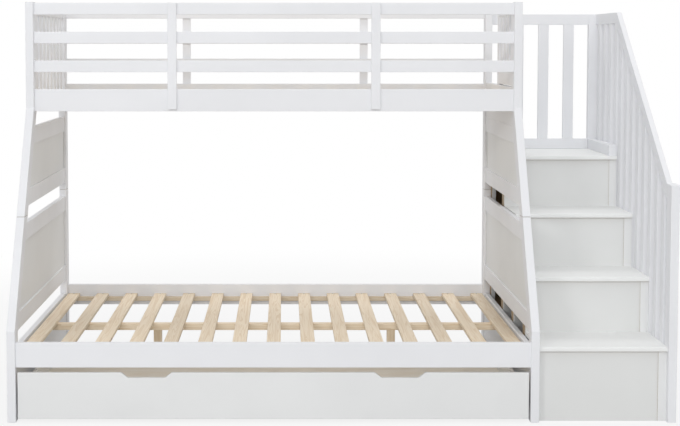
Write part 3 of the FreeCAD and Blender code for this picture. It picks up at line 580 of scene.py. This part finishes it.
def screwGuard(name, rails, face, facing, seed):
    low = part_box(rails)[0]
    postLow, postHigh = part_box("guard_posts")
    spacing = postHigh.x - postLow.x - guard["postWidth"]
    first = (postLow.x + guard["postWidth"] / 2, face, low.z + guard["railHeight"] / 2)
    rows = [(guard["posts"], (spacing, 0, 0)), (guard["rails"], (0, 0, guard["railPitch"]))]
    driveScrews(name, "frame", first, facing, rows, seed)


screwGuard("front_guard_screws", "front_guard_rails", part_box("front_guard_rails")[1].y,
           facingBack, seed=13)
screwGuard("back_guard_screws", "back_guard_rails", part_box("back_guard_rails")[0].y,
           facingFront, seed=14)

# Four screws hold each caster's plate under its batten
casterPlate = {"size": (44 * mm, 60 * mm), "sheet": 2 * mm, "edge": 7 * mm}


def screwCasters(seed):
    low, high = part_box("caster_brackets")
    width, length = casterPlate["size"]
    edge = casterPlate["edge"]
    first = (low.x + edge, low.y + edge, high.z - casterPlate["sheet"])
    plates = [(2, (high.x - low.x - width, 0, 0)), (2, (0, high.y - low.y - length, 0))]
    corners = [(2, (width - 2 * edge, 0, 0)), (2, (0, length - 2 * edge, 0))]
    driveScrews("caster_screws", "drawer", first, facingDown, corners + plates, seed)


screwCasters(seed=15)

# Camera of the photograph. The photo is level with a strong shift. Here a slight tilt takes over
# most of the shift, which moves the bed's edges by about a pixel and keeps it whole in other views
photoCamera = {
    "place": (-228.3, -6551.2, 1476.5),  # mm
    "focal": 1501.5,                     # in pixels of the 680 wide frame
    "tilt": 3.71,                        # degrees below level
    "frameWidth": 680,
    "frameHeight": 426,
    "principal": (283.5, 143),           # pixel that the camera looks straight at
    "sensor": 36,                        # mm
    "reach": 200,                        # m
}


def placeCamera():
    data = bpy.data.cameras.new("camera")
    width, height = photoCamera["frameWidth"], photoCamera["frameHeight"]
    data.sensor_width = photoCamera["sensor"]
    data.lens = data.sensor_width * photoCamera["focal"] / width
    data.shift_x = (width / 2 - photoCamera["principal"][0]) / width
    data.shift_y = (photoCamera["principal"][1] - height / 2) / width
    data.clip_end = photoCamera["reach"]
    camera = bpy.data.objects.new("camera", data)
    camera.location = Vector(photoCamera["place"]) * mm
    camera.rotation_euler = (math.pi / 2 - math.radians(photoCamera["tilt"]), 0, 0)
    bpy.context.scene.collection.objects.link(camera)
    bpy.context.scene.camera = camera


placeCamera()

# Soft studio light: a white room, a wide box high up and far behind the camera, a key from
# the left, and two boxes above
studio = {
    "roomLight": 0.57,
    "floorColour": "#d9d9d9",
    "floorSize": 120.0,        # m
    "shadowShare": 0.18,       # how much of the floor's own shading the camera sees
    "shadowReach": (2.2, 4.5),  # m from the bed where that shading fades to white
}
softBoxes = {  # m and W
    "farBox": {"place": (-0.6, -16.0, 6.0), "aim": (0.2, 0, 0.8), "size": (5.8, 2.0), "power": 556},
    "keyBox": {"place": (-4.2, -7.0, 3.6), "aim": (0.2, 0, 0.8), "size": (1.4, 1.4), "power": 76},
    "topBox": {"place": (0.3, -2.5, 9.0), "aim": (0.2, 0, 0.6), "size": (6.0, 4.0), "power": 95},
    "backBox": {"place": (0.5, 5.0, 8.0), "aim": (0.2, 0, 0.8), "size": (6.0, 3.0), "power": 200},
}


def seenDirectly(tree):  # 1 for rays from the camera or from a mirror-like or clear surface
    path = addNode(tree, "ShaderNodeLightPath").outputs
    either = addNode(tree, "ShaderNodeMath", {"operation": "MAXIMUM"},
                     {0: path["Is Camera Ray"], 1: path["Is Glossy Ray"]})
    return addNode(tree, "ShaderNodeMath", {"operation": "MAXIMUM"},
                   {0: either.outputs[0], 1: path["Is Transmission Ray"]}).outputs[0]


def lightRoom():
    world = bpy.data.worlds.new("white room")
    world.use_nodes = True
    tree = world.node_tree
    tree.nodes.clear()
    strength = addNode(tree, "ShaderNodeMapRange", None,
                       {"Value": seenDirectly(tree), "To Min": studio["roomLight"], "To Max": 1.0})
    backdrop = addNode(tree, "ShaderNodeBackground", None,
                       {"Color": (1, 1, 1, 1), "Strength": strength.outputs[0]})
    addNode(tree, "ShaderNodeOutputWorld", None, {"Surface": backdrop.outputs[0]})
    bpy.context.scene.world = world
    for name, box in softBoxes.items():
        data = bpy.data.lights.new(name, "AREA")
        data.shape = "RECTANGLE"
        data.size, data.size_y = box["size"]
        data.energy = box["power"]
        lamp = bpy.data.objects.new(name, data)
        lamp.location = box["place"]
        direction = Vector(box["aim"]) - lamp.location
        lamp.rotation_euler = direction.to_track_quat("-Z", "Y").to_euler()
        bpy.context.scene.collection.objects.link(lamp)


def layFloor():
    mesh = bpy.data.meshes.new("floor")
    half = studio["floorSize"] / 2
    corners = [(-half, -half, 0), (half, -half, 0), (half, half, 0), (-half, half, 0)]
    mesh.from_pydata(corners, [], [(0, 1, 2, 3)])
    floor = bpy.data.objects.new("floor", mesh)
    bpy.context.scene.collection.objects.link(floor)
    material, tree = newMaterial("white studio floor")
    place = addNode(tree, "ShaderNodeTexCoord").outputs["Object"]
    distance = addNode(tree, "ShaderNodeVectorMath", {"operation": "LENGTH"}, {0: place})
    near, far = studio["shadowReach"]
    share = addNode(tree, "ShaderNodeMapRange", smooth,
                    {"Value": distance.outputs["Value"], "From Min": near, "From Max": far,
                     "To Min": 1 - studio["shadowShare"], "To Max": 1.0})
    white = addNode(tree, "ShaderNodeMath", {"operation": "MULTIPLY"},
                    {0: share.outputs[0], 1: seenDirectly(tree)})
    matt = addNode(tree, "ShaderNodeBsdfDiffuse", None, {"Color": linear(studio["floorColour"])})
    glow = addNode(tree, "ShaderNodeEmission", None, {"Color": (1, 1, 1, 1), "Strength": 1.0})
    shader = addNode(tree, "ShaderNodeMixShader", None,
                     {0: white.outputs[0], 1: matt.outputs[0], 2: glow.outputs[0]})
    closeMaterial(tree, shader)
    mesh.materials.append(material)


lightRoom()
layFloor()
bpy.context.scene.view_settings.view_transform = "Standard"
print("studio: camera, floor and", len(softBoxes), "soft boxes")
